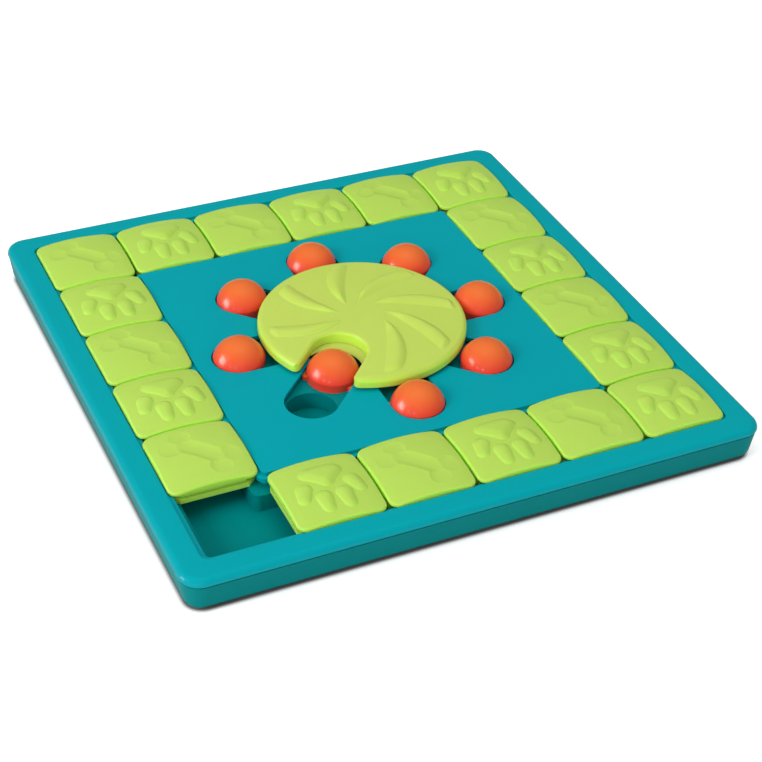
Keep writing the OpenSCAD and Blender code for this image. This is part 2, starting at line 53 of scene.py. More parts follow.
# %% Camera
CAMERA_PLACE = Vector((-0.3779, -0.8095, 0.6447))
CAMERA_FORWARD = Vector((0.35055, 0.72341, -0.59480)).normalized()
CAMERA_RIGHT = Vector((0.90979, -0.41375, 0.03297))
CAMERA_LENS, CAMERA_SENSOR = 84.67, 36.0
CAMERA_NEAR, CAMERA_FAR = 0.05, 20.0


def make_camera():
    """Camera whose axes are the columns right, up and back; up is right x forward."""
    data = bpy.data.cameras.new("board_camera")
    data.sensor_width = CAMERA_SENSOR
    data.lens = CAMERA_LENS
    data.clip_start = CAMERA_NEAR
    data.clip_end = CAMERA_FAR
    right = (CAMERA_RIGHT - CAMERA_FORWARD * CAMERA_RIGHT.dot(CAMERA_FORWARD)).normalized()
    up = right.cross(CAMERA_FORWARD)
    axes = Matrix((right, up, -CAMERA_FORWARD)).transposed().to_4x4()
    camera = bpy.data.objects.new("board_camera", data)
    camera.matrix_world = Matrix.Translation(CAMERA_PLACE) @ axes
    bpy.context.scene.collection.objects.link(camera)
    bpy.context.scene.camera = camera
    return camera


camera = make_camera()
print(camera.name, "at", tuple(round(c, 3) for c in CAMERA_PLACE), "lens", CAMERA_LENS)

# %% [markdown]
# ## Surfaces as grids
# Every new piece is a surface over a grid of two parameters, worked out as whole arrays. Such a
# grid is quick to compute, and its faces stay more even than hand modelling leaves them. The
# helpers here number the faces of a grid, join several grids and turn points about the axle.

# %% Grid helpers


def grid_surface(grid, wrap=False):
    """Points and index quads of an array (row, column, xyz); wrap closes each row to a ring."""
    grid = np.asarray(grid, dtype=np.float64)
    rows, columns = grid.shape[:2]
    index = np.arange(rows * columns).reshape(rows, columns)
    if wrap:
        index = np.hstack([index, index[:, :1]])
    a, b = index[:-1, :-1], index[:-1, 1:]
    c, d = index[1:, 1:], index[1:, :-1]
    return grid.reshape(-1, 3), np.stack([a, b, c, d], axis=-1).reshape(-1, 4)


def flipped(surface):
    """The same surface with its faces pointing the other way."""
    points, quads = surface
    return points, quads[:, ::-1]


def join_surfaces(surfaces):
    """One surface from several: each one's quads count on from the points before it."""
    starts = np.cumsum([0] + [len(points) for points, _ in surfaces[:-1]])
    quads = [quads + start for (_, quads), start in zip(surfaces, starts)]
    return np.concatenate([points for points, _ in surfaces]), np.concatenate(quads)


def at_height(outline, z):
    """Flat outline lifted to the height z, which is one number or one for each point."""
    return np.column_stack([outline, np.full(len(outline), z)])


def scaled_rings(outline, levels):
    """Stack of copies of a flat outline; levels lists each copy's scale and height."""
    return grid_surface([at_height(outline * scale, z) for scale, z in levels], wrap=True)


def turned(x, y, angle):
    """x and y after a turn about the axle, by the two rows of a rotation matrix."""
    c, s = math.cos(angle), math.sin(angle)
    return c * x - s * y, s * x + c * y


print("a grid of 3 x 4 points has", len(grid_surface(np.zeros((3, 4, 3)))[1]), "faces")

# %% [markdown]
# ## From arrays to a mesh
# Seams and poles leave points on top of each other. They are merged by rounding, and the quads
# that lost a corner become triangles, so that every piece is closed. foreach_set then writes
# whole arrays at once, which is far quicker than adding faces one by one. The piece is shaded
# smooth except across edges that turn by more than 40 degrees.

# %% Mesh helpers
MM = 0.001
MERGE_STEP = 1e-7
SHARP_ANGLE = math.radians(40.0)


def merge_doubles(points, quads):
    """Points that round to the same step become one, and the quads name it."""
    keys = np.round(points / MERGE_STEP).astype(np.int64)
    _, first, place = np.unique(keys, axis=0, return_index=True, return_inverse=True)
    return points[first], place.reshape(-1)[quads]


def whole_faces(quads):
    """Quads of four different corners, then triangles where two neighbours fell together."""
    folded = [quads[:, i] == quads[:, (i + 1) % 4] for i in range(4)]
    folds = sum(fold.astype(int) for fold in folded)
    pinched = (quads[:, 0] == quads[:, 2]) | (quads[:, 1] == quads[:, 3])
    groups = [quads[(folds == 0) & ~pinched]]
    for i in range(4):
        keep = [k for k in range(4) if k != i]
        groups.append(quads[(folds == 1) & folded[i] & ~pinched][:, keep])
    return [group for group in groups if len(group)]


def fill_mesh(name, points, groups):
    """Mesh in metres from points and groups of faces that have equally many corners."""
    corners = np.concatenate([group.reshape(-1) for group in groups])
    sizes = np.concatenate([np.full(len(group), group.shape[1]) for group in groups])
    mesh = bpy.data.meshes.new(name)
    mesh.vertices.add(len(points))
    mesh.vertices.foreach_set("co", points.astype(np.float32).ravel())
    mesh.loops.add(len(corners))
    mesh.loops.foreach_set("vertex_index", corners.astype(np.int32))
    mesh.polygons.add(len(sizes))
    mesh.polygons.foreach_set("loop_start", (np.cumsum(sizes) - sizes).astype(np.int32))
    mesh.update(calc_edges=True)
    mesh.validate()
    mesh.polygons.foreach_set("use_smooth", np.ones(len(mesh.polygons), dtype=bool))
    mesh.set_sharp_from_angle(angle=SHARP_ANGLE)
    return mesh


def make_piece(name, points_mm, quads, material, body, replaces):
    """Mesh piece from points in millimetres and index quads, riding on a body."""
    points, quads = merge_doubles(points_mm * MM, quads)
    mesh = fill_mesh(name, points, whole_faces(quads))
    mesh.materials.append(material)
    piece = bpy.data.objects.new(name, mesh)
    bpy.context.scene.collection.objects.link(piece)
    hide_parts(*replaces)
    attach(piece, body)
    return piece


print("merge step:", round(MERGE_STEP / MM, 6), "mm, sharp from", math.degrees(SHARP_ANGLE))

# %% [markdown]
# ## Nodes from values
# A material is a small chain of nodes. Written one call at a time it is long and hard to read,
# so one helper makes a node and fills its inputs: a number or a colour is set, and another
# node's output is linked. The chain then reads in the order in which the values flow.

# %% Node helpers
# Socket numbers of a Mix node for colours; its socket names repeat for every kind of value.
MIX_SHARE, MIX_FIRST, MIX_SECOND, MIX_RESULT = 0, 6, 7, 2
WHITE = (1.0, 1.0, 1.0, 1.0)


def add_node(tree, kind, values, operation=None, data_type=None):
    """New node whose inputs, by name or number, are linked to a socket or set to a value."""
    node = tree.nodes.new("ShaderNode" + kind)
    if operation:
        node.operation = operation
    if data_type:
        node.data_type = data_type
    for name, value in values.items():
        if isinstance(value, bpy.types.NodeSocket):
            tree.links.new(value, node.inputs[name])
        else:
            node.inputs[name].default_value = value
    return node


def mix_colours(tree, share, first, second):
    """Colour that goes from first to second as share goes from 0 to 1."""
    first, second = (colour if isinstance(colour, bpy.types.NodeSocket) else (*colour, 1.0)
                     for colour in (first, second))
    node = add_node(tree, "Mix", {MIX_SHARE: share, MIX_FIRST: first, MIX_SECOND: second},
                    data_type="RGBA")
    return node.outputs[MIX_RESULT]


def empty_tree(block):
    """Node tree of a new material or world, without the nodes it comes with."""
    block.use_nodes = True
    block.node_tree.nodes.clear()
    return block.node_tree


print("mix sockets:", MIX_SHARE, MIX_FIRST, MIX_SECOND, "to", MIX_RESULT)

# %% [markdown]
# ## Moulded plastic
# All large parts are injection-moulded plastic with a fine spark-eroded grain. The colour comes
# from a constant on the shader, moved a little by a slow noise as real mouldings are; a fine
# noise gives the grain as bump, and a middle-sized one makes the gloss uneven where hands,
# noses and paws have rubbed it. Noise on Object coordinates needs no picture and no unwrapping,
# and it stays on the piece when the piece moves.

# %% Plastic material
DRIFT_SCALE, DRIFT_DETAIL, DRIFT_ROUGHNESS = 22.0, 4.0, 0.55
RUB_SCALE, RUB_DETAIL, RUB_SPREAD = 90.0, 6.0, 0.06
GRAIN_SCALE, GRAIN_DETAIL, GRAIN_STRENGTH = 2600.0, 2.0, 0.35
MOULD_GRAIN, RUBBER_GRAIN = 0.00002, 0.00005
# LEVEL_Z and UPRIGHT_Z bound the mask for the side colour that is painted on upright faces as
# light and shade.
LEVEL_Z, UPRIGHT_Z = 0.88, 0.35
PLASTIC_IOR = 1.47
SCATTER_RADIUS, SCATTER_SCALE = (0.6, 1.0, 0.35), 0.004


def side_shading_share(tree, place):
    """Mask of the colour painted on upright faces as light and shade: 0 on level faces and 1 on
    upright ones, by the z of the object's own normal.
    """
    normal = add_node(tree, "SeparateXYZ", {"Vector": place.outputs["Normal"]})
    share = add_node(tree, "MapRange", {"Value": normal.outputs["Z"],
                                        "From Min": LEVEL_Z, "From Max": UPRIGHT_Z})
    return share.outputs["Result"]


def plastic(name, colour, deep, roughness, grain=MOULD_GRAIN, coat=0.0, coat_roughness=0.25,
            gloss=0.5, glow_through=0.0, painted_side_shading=None):
    """Moulded plastic: colour drifts between colour and deep, roughness and bump from noise.

    A translucent plastic looks fuller on faces that stand upright, where light from above leaves
    it again.
    That light and shade is painted: painted_side_shading is the colour painted on upright faces.
    """
    material = bpy.data.materials.new(name)
    tree = empty_tree(material)
    place = add_node(tree, "TexCoord", {})
    at = place.outputs["Object"]
    drift = add_node(tree, "TexNoise", {"Vector": at, "Scale": DRIFT_SCALE,
                                        "Detail": DRIFT_DETAIL, "Roughness": DRIFT_ROUGHNESS})
    rub = add_node(tree, "TexNoise", {"Vector": at, "Scale": RUB_SCALE, "Detail": RUB_DETAIL})
    fine = add_node(tree, "TexNoise", {"Vector": at, "Scale": GRAIN_SCALE, "Detail": GRAIN_DETAIL})
    paint = mix_colours(tree, drift.outputs["Fac"], colour, deep)
    # Painted light and shade: upright faces get the side colour, which stands in for light leaving
    # the plastic.
    if painted_side_shading:
        paint = mix_colours(tree, side_shading_share(tree, place), paint, painted_side_shading)
    rubbed = add_node(tree, "MapRange", {"Value": rub.outputs["Fac"],
                                         "To Min": roughness - RUB_SPREAD,
                                         "To Max": roughness + RUB_SPREAD})
    bump = add_node(tree, "Bump", {"Height": fine.outputs["Fac"],
                                   "Strength": GRAIN_STRENGTH, "Distance": grain})
    shader = add_node(tree, "BsdfPrincipled", {
        "Base Color": paint, "Roughness": rubbed.outputs["Result"],
        "Normal": bump.outputs["Normal"], "IOR": PLASTIC_IOR, "Specular IOR Level": gloss,
        "Subsurface Weight": glow_through, "Subsurface Radius": SCATTER_RADIUS,
        "Subsurface Scale": SCATTER_SCALE, "Coat Weight": coat, "Coat Roughness": coat_roughness})
    add_node(tree, "OutputMaterial", {"Surface": shader.outputs["BSDF"]})
    return material


print("noise scales:", DRIFT_SCALE, RUB_SCALE, GRAIN_SCALE)

# %% [markdown]
# ## The board's colours
# The shells are teal, the tray darker than the rim and panel; the tiles and wheel are lime and
# Each is the same plastic with its own two colours, so one function makes all
# six. The lime and orange are translucent, and on their upright faces light and shade are painted,
# as a fuller lime and a deeper red. The rim and knobs have a thin coat for the polish of their
# rounded tops.

# %% Plastics
TEAL_RIM = plastic("teal_rim", (0.0, 0.346, 0.396), (0.0, 0.328, 0.376), 0.50, gloss=0.03,
                   coat=0.15, coat_roughness=0.16)
TEAL_PANEL = plastic("teal_panel", (0.0, 0.340, 0.398), (0.0, 0.322, 0.376), 0.52, gloss=0.05)
TEAL_TRAY = plastic("teal_tray", (0.0, 0.232, 0.234), (0.0, 0.216, 0.218), 0.50, gloss=0.04)
# The lime side colours are painted light: a brighter, fuller green on upright faces.
LIME_TILE = plastic("lime_tile", (0.470, 0.690, 0.110), (0.445, 0.660, 0.098), 0.44,
                    gloss=0.35, glow_through=0.5, painted_side_shading=(0.560, 0.960, 0.110))
LIME_WHEEL = plastic("lime_wheel", (0.545, 0.690, 0.122), (0.515, 0.670, 0.106), 0.42,
                     gloss=0.35, glow_through=0.5, painted_side_shading=(0.600, 0.940, 0.100))
# The orange side colour is painted shade: a deeper red on the knobs' upright sides.
ORANGE = plastic("orange_knob", (0.830, 0.170, 0.032), (0.805, 0.152, 0.028), 0.30,
                 gloss=0.30, coat=0.25, coat_roughness=0.17, painted_side_shading=(0.980, 0.060, 0.030))
print("plastics:", len(bpy.data.materials))

# %% [markdown]
# ## Steel and rubber
# The screws and the washer are zinc-plated steel with faint turning marks, and the feet are
# black rubber, dull and slightly dusty. The marks are a noise pressed flat along the screws'
# axis, which costs less than cut grooves and is enough for parts of this size.

# %% Steel and rubber
STEEL_COLOUR = (0.58, 0.58, 0.60, 1.0)
MARK_SCALE = (400.0, 400.0, 3000.0)
STEEL_SMOOTH, STEEL_ROUGH = 0.24, 0.42


def steel(name):
    """Zinc-plated steel: metallic, with a stretched noise that varies the roughness."""
    material = bpy.data.materials.new(name)
    tree = empty_tree(material)
    place = add_node(tree, "TexCoord", {})
    stretch = add_node(tree, "Mapping", {"Vector": place.outputs["Object"], "Scale": MARK_SCALE})
    marks = add_node(tree, "TexNoise", {"Vector": stretch.outputs["Vector"], "Scale": 1.0})
    spread = add_node(tree, "MapRange", {"Value": marks.outputs["Fac"],
                                         "To Min": STEEL_SMOOTH, "To Max": STEEL_ROUGH})
    shader = add_node(tree, "BsdfPrincipled", {
        "Base Color": STEEL_COLOUR, "Metallic": 1.0, "Roughness": spread.outputs["Result"]})
    add_node(tree, "OutputMaterial", {"Surface": shader.outputs["BSDF"]})
    return material


STEEL = steel("zinc_steel")
RUBBER = plastic("foot_rubber", (0.020, 0.020, 0.021), (0.032, 0.031, 0.030), 0.80,
                 grain=RUBBER_GRAIN)
print("steel and rubber:", STEEL.name, RUBBER.name)

# %% [markdown]
# ## Finishes on the solids that stay
# The tray, the panel, the well tray, the runners, the screws and the feet keep their solids,
# which already have the real shape and would gain nothing from a second one. Each gets the
# finish of its record slot by putting a material into its only slot. The solids that finer
# pieces stand for below get theirs as well, so that a solid and its piece can be compared.

# %% Materials on CAD nodes
FINISHES = [
    ("tray", ("base_tray", "well_tray"), TEAL_TRAY),
    ("panel", ("centre_panel",), TEAL_PANEL),
    ("rim", ("rim_frame",), TEAL_RIM),
    ("tiles", ("tile_",), LIME_TILE),
    ("wheel", ("wheel",), LIME_WHEEL),
    ("knobs", ("knob_",), ORANGE),
    ("steel", ("axle_", "rim_screws", "panel_screws", "well_tray_screws"), STEEL),
    ("feet", ("rubber_feet",), RUBBER),
]


def finish_nodes(prefixes, material):
    """Put material on every CAD node whose name starts with one of the prefixes."""
    chosen = [node for name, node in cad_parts.items() if name.startswith(prefixes)]
    for node in chosen:
        node.data.materials.clear()
        node.data.materials.append(material)
    return len(chosen)


for title, prefixes, material in FINISHES:
    print(title, finish_nodes(prefixes, material))

# %% [markdown]
# ## The rim
# The rim is one moulding: a flat band with a broad rounding outside, a small one inside, a lip
# that holds the tiles down, and a narrow reveal over the seam. A bevelled box would round all
# edges alike, so it is a closed profile carried round a square with rounded corners, and every
# height has its own half width and corner radius.

# %% Rim frame
SIDE_STEPS, CORNER_STEPS = 6, 20


def four_sides(x, y):
    """Points of one side, then the same turned by one, two and three quarters."""
    sides = [(x, y), (-y, x), (-x, -y), (y, -x)]
    return np.concatenate([np.stack(side, axis=-1) for side in sides])


def rounded_loop(half, radius):
    """Points of a rounded square: on each side a straight run, then a quarter arc."""
    flat = half - radius
    run = np.linspace(-1.0, 1.0, SIDE_STEPS, endpoint=False)
    turn = np.linspace(0.0, np.pi / 2, CORNER_STEPS, endpoint=False)
    x = np.concatenate([np.full(SIDE_STEPS, half), flat + radius * np.cos(turn)])
    y = np.concatenate([run * flat, flat + radius * np.sin(turn)])
    return four_sides(x, y)


def arc_profile(half, radius, z, size, start, stop, steps):
    """Rows (half, radius, z) along an arc of the given size about (half, z), in degrees."""
    turn = np.radians(np.linspace(start, stop, steps + 1))
    out = size * np.cos(turn)
    return np.stack([half + out, radius + out, z + size * np.sin(turn)], axis=-1)


# Rows of half width, corner radius and height: up the reveal, over the outer roundings and the
# flat band, down inside round the lip and the hanging wall, through the hollow to the seam.
RIM_PROFILE = np.concatenate([
    [[173.9, 10.9, 17.7], [173.9, 10.9, 18.3]],
    arc_profile(174.4, 11.4, 18.9, 0.6, -70, 0, 4),
    arc_profile(170.8, 7.8, 18.8, 4.2, 0, 90, 12),
    [[166.0, 6.2, 23.0], [163.0, 6.0, 23.0]],
    arc_profile(160.3, 5.6, 22.4, 0.6, 90, 180, 5),
    [[159.7, 5.0, 20.9], [159.6, 4.9, 20.8], [157.0, 3.4, 20.8], [156.6, 3.0, 20.5]],
    [[156.6, 3.0, 18.7], [157.0, 3.4, 18.4], [159.7, 5.0, 18.4], [159.7, 5.0, 14.8]],
    [[161.9, 7.2, 14.8], [161.9, 7.2, 20.6], [172.3, 9.5, 20.6], [172.3, 9.5, 17.7]],
    [[173.9, 10.9, 17.7]],
])
points, quads = grid_surface([at_height(rounded_loop(half, radius), z)
                              for half, radius, z in RIM_PROFILE], wrap=True)
rim = make_piece("rim_moulding", points, quads, TEAL_RIM, "board", ("rim_frame",))
print("rim faces:", len(rim.data.polygons))

# %% [markdown]
# ## Ornament as distance fields
# The paw stands up from the tile and the bone is sunk into it, each with a soft slope round its
# outline. A sculpted or cut ornament would need its own mesh, joined to the crown. Instead each
# outline is a signed distance in millimetres, negative inside, and a smooth step of it gives
# the slope, so that the ornament follows the crown by itself.

# %% Distance fields


def soft_union(a, b, k):
    """Smooth minimum of two distances: rounds the inner corner where two shapes meet."""
    h = np.clip(0.5 + 0.5 * (b - a) / k, 0.0, 1.0)
    return b + (a - b) * h - k * h * (1.0 - h)


def drop_field(x, y, wide, wide_r, tip, tip_r):
    """Distance to a drop: two circles of different size and the band between their tangents."""
    ax, ay = tip[0] - wide[0], tip[1] - wide[1]
    length = math.hypot(ax, ay)
    ax, ay = ax / length, ay / length
    along = (x - wide[0]) * ax + (y - wide[1]) * ay
    across = np.abs(-(x - wide[0]) * ay + (y - wide[1]) * ax)
    b = (wide_r - tip_r) / length
    a = math.sqrt(1.0 - b * b)
    k = -b * across + a * along
    first = np.hypot(across, along) - wide_r
    last = np.hypot(across, along - length) - tip_r
    middle = a * across + b * along - wide_r
    return np.where(k < 0.0, first, np.where(k > a * length, last, middle))


def triangle_field(x, y, corners):
    """Distance to a triangle with clockwise corners: to its nearest edge, negative inside."""
    far = 1e9
    near, inside = np.full_like(x, far), np.full_like(x, far)
    for (ax, ay), (bx, by) in zip(corners, corners[1:] + corners[:1]):
        ex, ey = bx - ax, by - ay
        share = np.clip(((x - ax) * ex + (y - ay) * ey) / (ex**2 + ey**2), 0.0, 1.0)
        near = np.minimum(near, np.hypot(x - ax - share * ex, y - ay - share * ey))
        inside = np.minimum(inside, ey * (x - ax) - ex * (y - ay))
    return np.where(inside > 0.0, -near, near)


def pillow(field, width, power):
    """0 outside; inside a cushion that reaches 1 at the given depth behind the outline."""
    t = np.clip(-field / width, 0.0, 1.0)
    return (1.0 - (1.0 - t) ** 2) ** power


print("cushion at half its width:", round(float(pillow(-0.5, 1.0, 1.0)), 3))

# %% [markdown]
# ## The paw
# A paw print is a broad pad with four toes. The pad is a triangle made round by a fat outline,
# fatter behind, and each toe is a drop whose narrow end points away from the pad. Plain circles
# would be simpler, but the drops are what makes it look like a dog's paw.

# %% Paw outline and height
PAD_FRONT, PAD_BACK, PAD_FAT, PAD_FATTER = 2.8, 11.2, 4.3, 1.9
PAD_CORNERS = [(-6.2, PAD_BACK), (6.8, PAD_BACK), (0.3, PAD_FRONT)]
PAD_RISE, PAD_SLOPE, PAD_POWER = 2.2, 6.2, 0.8
TOES = [((-5.3, -8.4), (-5.6, -16.4)), ((6.3, -8.4), (6.5, -16.4)),
        ((-13.6, 0.6), (-16.0, -6.5)), ((14.2, 0.6), (16.4, -6.5))]
TOE_WIDE_R, TOE_TIP_R = 4.9, 3.7
TOE_RISE, TOE_SLOPE, TOE_POWER = 1.9, 4.6, 0.75


def pad_field(x, y):
    """The pad: a triangle fattened by 4.3 mm at its front corner and by 6.2 mm behind."""
    fat = PAD_FAT + PAD_FATTER * np.clip((y - PAD_FRONT) / (PAD_BACK - PAD_FRONT), 0.0, 1.0)
    return triangle_field(x, y, PAD_CORNERS) - fat


def toes_field(x, y):
    """Least of the distances to the four drops."""
    return np.minimum.reduce([drop_field(x, y, wide, TOE_WIDE_R, tip, TOE_TIP_R)
                              for wide, tip in TOES])


def paw_height(x, y):
    """The higher of the pad's cushion and the toes' cushions."""
    return np.maximum(PAD_RISE * pillow(pad_field(x, y), PAD_SLOPE, PAD_POWER),
                      TOE_RISE * pillow(toes_field(x, y), TOE_SLOPE, TOE_POWER))


pad_middle = np.array([0.0]), np.array([6.0])
print("paw height at the pad's middle:", round(float(paw_height(*pad_middle)[0]), 3))

# %% [markdown]
# ## The bone
# The bone lies across the tile from the back left to the front right, as a trough. It is a bar
# with two lobes at each end, blended softly so that no crease shows between them, and it grows
# shallower toward its ends as a trough pressed into a crowned top does.

# %% Bone outline and height
BONE_SHIFT, BONE_HALF, BONE_BAR = 0.9, 15.7, 6.0
LOBE_OUT, LOBE_R, BONE_BLEND = 5.9, 6.3, 1.5
BONE_DEPTH, BONE_SLOPE, BONE_POWER = 1.3, 5.5, 0.9
BONE_FADE, BONE_FADE_START, BONE_FADE_RUN = 0.60, 9.0, 8.0


def bone_axes(x, y):
    """Coordinates along and across the bone, which lies from back left to front right."""
    return (x - y) / math.sqrt(2.0), (x + y) / math.sqrt(2.0) - BONE_SHIFT


def bone_field(x, y):
    """Distance to a bar, softly joined with the distance to the lobes at its four corners."""
    u, v = bone_axes(x, y)
    dx, dy = np.abs(u) - BONE_HALF, np.abs(v) - BONE_BAR
    outside = np.hypot(np.maximum(dx, 0.0), np.maximum(dy, 0.0))
    bar = outside + np.minimum(np.maximum(dx, dy), 0.0)
    lobe = np.hypot(dx, np.abs(v) - LOBE_OUT) - LOBE_R
    return soft_union(bar, lobe, BONE_BLEND)


def bone_height(x, y):
    """Trough as deep as its cushion is high, times a fade along the bone."""
    along = np.abs(bone_axes(x, y)[0])
    fade = 1.0 - BONE_FADE * np.clip((along - BONE_FADE_START) / BONE_FADE_RUN, 0.0, 1.0)
    return -BONE_DEPTH * fade * pillow(bone_field(x, y), BONE_SLOPE, BONE_POWER)


print("bone height at middle:", round(float(bone_height(np.zeros(1), np.zeros(1))[0]), 3))

# %% [markdown]
# ## A tile's crown and outline
# A tile's cap is a shallow cushion: a patch of a large sphere over a square with rounded
# corners, softened along its edges. The outline is sampled evenly on every side, with the same
# count for every size, so that rings of different size pair up point by point.

# %% Tile crown and outline
CAP_HALF, CAP_CORNER, CAP_EDGE = 25.8, 5.7, 1.7
CAP_BOTTOM, CAP_CHAMFER = 21.2, 0.3
CROWN_Z, CROWN_R = 28.3, 130.0
SAG, SAG_START, SAG_RUN = 0.5, 19.8, 6.0
TILE_STEPS, CAP_EDGE_RINGS = 128, 8


def square_outline(half, corner):
    """Outline and outward normals of a rounded square at 4 x TILE_STEPS places."""
    w = np.linspace(-1.0, 1.0, TILE_STEPS, endpoint=False)
    share = corner / half
    turn = np.clip((np.abs(w) - (1.0 - share)) / share * (np.pi / 4), 0.0, np.pi / 4)
    x = np.where(turn > 0.0, half - corner + corner * np.cos(turn), half)
    y = np.where(turn > 0.0, np.sign(w) * (half - corner + corner * np.sin(turn)), w * half)
    return four_sides(x, y), four_sides(np.cos(turn), np.sign(w) * np.sin(turn))


def crown_height(x, y):
    """Sphere patch, let down by a parabola within 6 mm of the cap's sides."""
    z = CROWN_Z - CROWN_R + np.sqrt(CROWN_R**2 - x**2 - y**2)
    for side in (np.abs(x), np.abs(y)):
        z = z - SAG * np.clip((side - SAG_START) / SAG_RUN, 0.0, 1.0) ** 2
    return z


print("outline points:", len(square_outline(CAP_HALF, CAP_CORNER)[0]))

# %% [markdown]
# ## A tile's surface
# The top is a square grid bent onto the rounded square by scaling copies of its outline. A grid
# of rings round a pole would bunch up in the middle, just where the ornament is; here the cells
# stay nearly square. The edge, the sides and the underside are a stack of outlines.

# %% Tile surface
ORNAMENTS = {"bone": bone_height, "paw": paw_height}
ORNAMENT_Y = -0.8


def bent_grid():
    """Square grid bent onto a rounded one: with reach = max(|u|, |v|), a point is reach times
    the outline's point in the same direction, found between its two nearest samples."""
    ring, _ = square_outline(1.0, (CAP_CORNER - CAP_EDGE) / (CAP_HALF - CAP_EDGE))
    w = np.linspace(-1.0, 1.0, TILE_STEPS + 1)
    u, v = np.meshgrid(w, w)
    reach = np.maximum(np.abs(u), np.abs(v))
    safe = np.where(reach > 0.0, reach, 1.0)
    su, sv = u / safe, v / safe
    sideways = np.abs(su) >= np.abs(sv)
    side = np.where(sideways, sv * np.sign(su), -su * np.sign(sv))
    quarter = np.where(sideways, np.where(su > 0, 0, 2), np.where(sv > 0, 1, 3))
    along = (side + 1.0) / 2.0 * TILE_STEPS
    low = np.floor(along).astype(int)
    sample = quarter * TILE_STEPS + low
    before, after = ring[sample % len(ring)], ring[(sample + 1) % len(ring)]
    return (before + (after - before) * (along - low)[..., None]) * reach[..., None]


def cap_top(kind):
    """Bent grid lifted to the crown's height plus the ornament's."""
    x, y = np.moveaxis(bent_grid() * (CAP_HALF - CAP_EDGE), -1, 0)
    z = crown_height(x, y) + ORNAMENTS[kind](x, y - ORNAMENT_Y)
    return grid_surface(np.stack([x, y, z], axis=-1))


def cap_sides():
    """Rings down from the top: a quarter round of CAP_EDGE, the side, a chamfer, the underside."""
    edge, normal = square_outline(CAP_HALF - CAP_EDGE, CAP_CORNER - CAP_EDGE)
    edge_z = crown_height(*edge.T)
    rings = []
    for turn in np.radians(np.linspace(0.0, 90.0, CAP_EDGE_RINGS)):
        out = edge + normal * CAP_EDGE * math.sin(turn)
        rings.append(at_height(out, edge_z - CAP_EDGE * (1.0 - math.cos(turn))))
    side, _ = square_outline(CAP_HALF, CAP_CORNER)
    foot, _ = square_outline(CAP_HALF - CAP_CHAMFER, CAP_CORNER - CAP_CHAMFER)
    rings.append(at_height(side, CAP_BOTTOM + CAP_CHAMFER))
    rings += [at_height(foot * scale, CAP_BOTTOM) for scale in (1.0, 0.5, 0.0)]
    return grid_surface(np.array(rings)[:, ::-1], wrap=True)


caps = {kind: join_surfaces([cap_top(kind), cap_sides()]) for kind in ORNAMENTS}
print("cap points:", len(caps["paw"][0]), "quads:", len(caps["paw"][1]))

# %% [markdown]
# ## The ring of tiles
# The tiles stand in a ring of twenty cells, of which the near left corner is empty. They are
# numbered clockwise from it. Nine carry a bone and ten a paw; they are copies of two surfaces,
# but each is a piece of its own, because each rides on its own body.

# %% Place the tiles
PITCH = 53.2
TILE_CELLS = [
    (-2.5, -1.5, "bone"), (-2.5, -0.5, "paw"), (-2.5, 0.5, "bone"), (-2.5, 1.5, "paw"),
    (-2.5, 2.5, "bone"), (-1.5, 2.5, "paw"), (-0.5, 2.5, "bone"), (0.5, 2.5, "paw"),
    (1.5, 2.5, "bone"), (2.5, 2.5, "paw"), (2.5, 1.5, "bone"), (2.5, 0.5, "paw"),
    (2.5, -0.5, "bone"), (2.5, -1.5, "paw"), (2.5, -2.5, "paw"), (1.5, -2.5, "bone"),
    (0.5, -2.5, "paw"), (-0.5, -2.5, "bone"), (-1.5, -2.5, "paw"),
]
for number, (column, row, kind) in enumerate(TILE_CELLS, 1):
    points, quads = caps[kind]
    place = np.array([column * PITCH, row * PITCH, 0.0])
    tile = make_piece(f"tile_{number:02d}_{kind}", points + place, quads, LIME_TILE,
                      f"tile_body_{number:02d}", (f"tile_cap_{number:02d}",))
print("tiles:", len(TILE_CELLS), "faces each:", len(tile.data.polygons))

# %% [markdown]
# ## The wheel's outline
# The wheel is a disc with a U-shaped notch, so no simple lathe makes it, and a boolean cut would
# leave its edge sharp. Its outline can be moved inwards by any distance: the rim, the notch and
# the two rounded horns between them are all arcs and lines. It is drawn in the notch's own axes,
# with x out through the notch's mouth.

# %% Wheel outline
WHEEL_R, WHEEL_ROUND = 63.3, 3.4
NOTCH_HALF, NOTCH_END, NOTCH_DEGREES = 16.9, 38.8, -135
NOTCH_ANGLE = math.radians(NOTCH_DEGREES)
WHEEL_AROUND, HORN_STEPS = 480, 8


def arc_points(middle, radius, turn):
    """Points of a circle at the angles in turn."""
    x, y = middle
    return np.stack([x + radius * np.cos(turn), y + radius * np.sin(turn)], axis=-1)


def notch_points(half, mouth, bend):
    """U from the lower horn to the upper one: straight sides and an arc whose radius is half.

    mouth is the straight sides' length and bend the length that the arc counts for; the steps
    of the walk s are shared out evenly over all three.
    """
    s = np.linspace(0.0, 2 * mouth + bend, WHEEL_AROUND + 1)
    phi = np.clip((s - mouth) / bend, 0.0, 1.0) * np.pi
    out = np.maximum(mouth - s, 0.0) + np.maximum(s - mouth - bend, 0.0)
    return np.stack([NOTCH_END + out - half * np.sin(phi), -half * np.cos(phi)], axis=-1)


